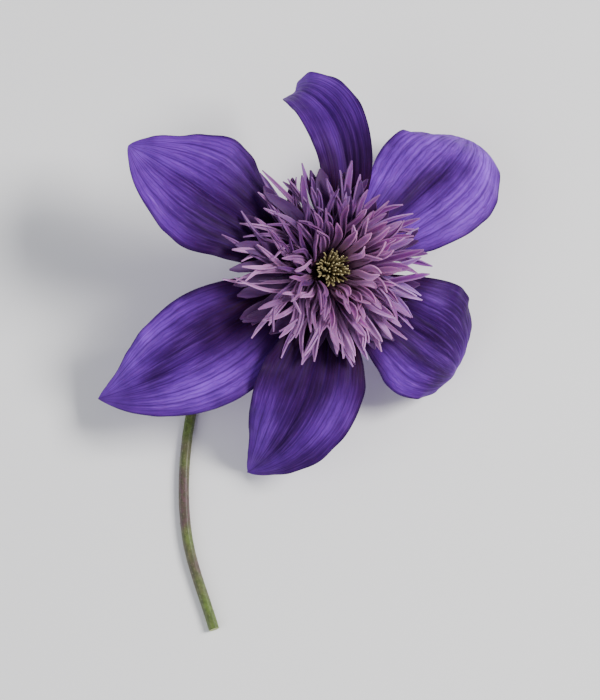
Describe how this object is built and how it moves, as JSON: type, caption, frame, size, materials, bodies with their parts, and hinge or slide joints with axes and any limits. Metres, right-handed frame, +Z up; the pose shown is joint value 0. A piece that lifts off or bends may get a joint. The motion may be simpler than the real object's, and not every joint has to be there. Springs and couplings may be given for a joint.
{
  "type": "clematis flower",
  "caption": "Cut clematis bloom lying face up: broad drooping petal-like sepals round a dense tuft of narrow curled staminodes, a knot of pistils, and a bent stalk.",
  "frame": {"origin": "middle of the flower's outline seen from above, on the surface it lies on", "axes": "+Z up, the way the bloom faces; -Y along the stalk to its cut end; +X to the right with the stalk towards the viewer"},
  "size_m": [0.0659, 0.0883, 0.0292],
  "materials": {
    "sepal": "satin",
    "staminode": "satin",
    "pistil": "matte",
    "stalk": "satin"
  },
  "bodies": {
    "root": {"sepal_upper_left": "sepal", "sepal_top": "sepal", "sepal_upper_right": "sepal", "sepal_lower_right": "sepal", "sepal_bottom": "sepal", "sepal_lower_left": "sepal", "staminodes": "staminode", "pistils": "pistil", "peduncle": "stalk"}
  },
  "joints": []
}
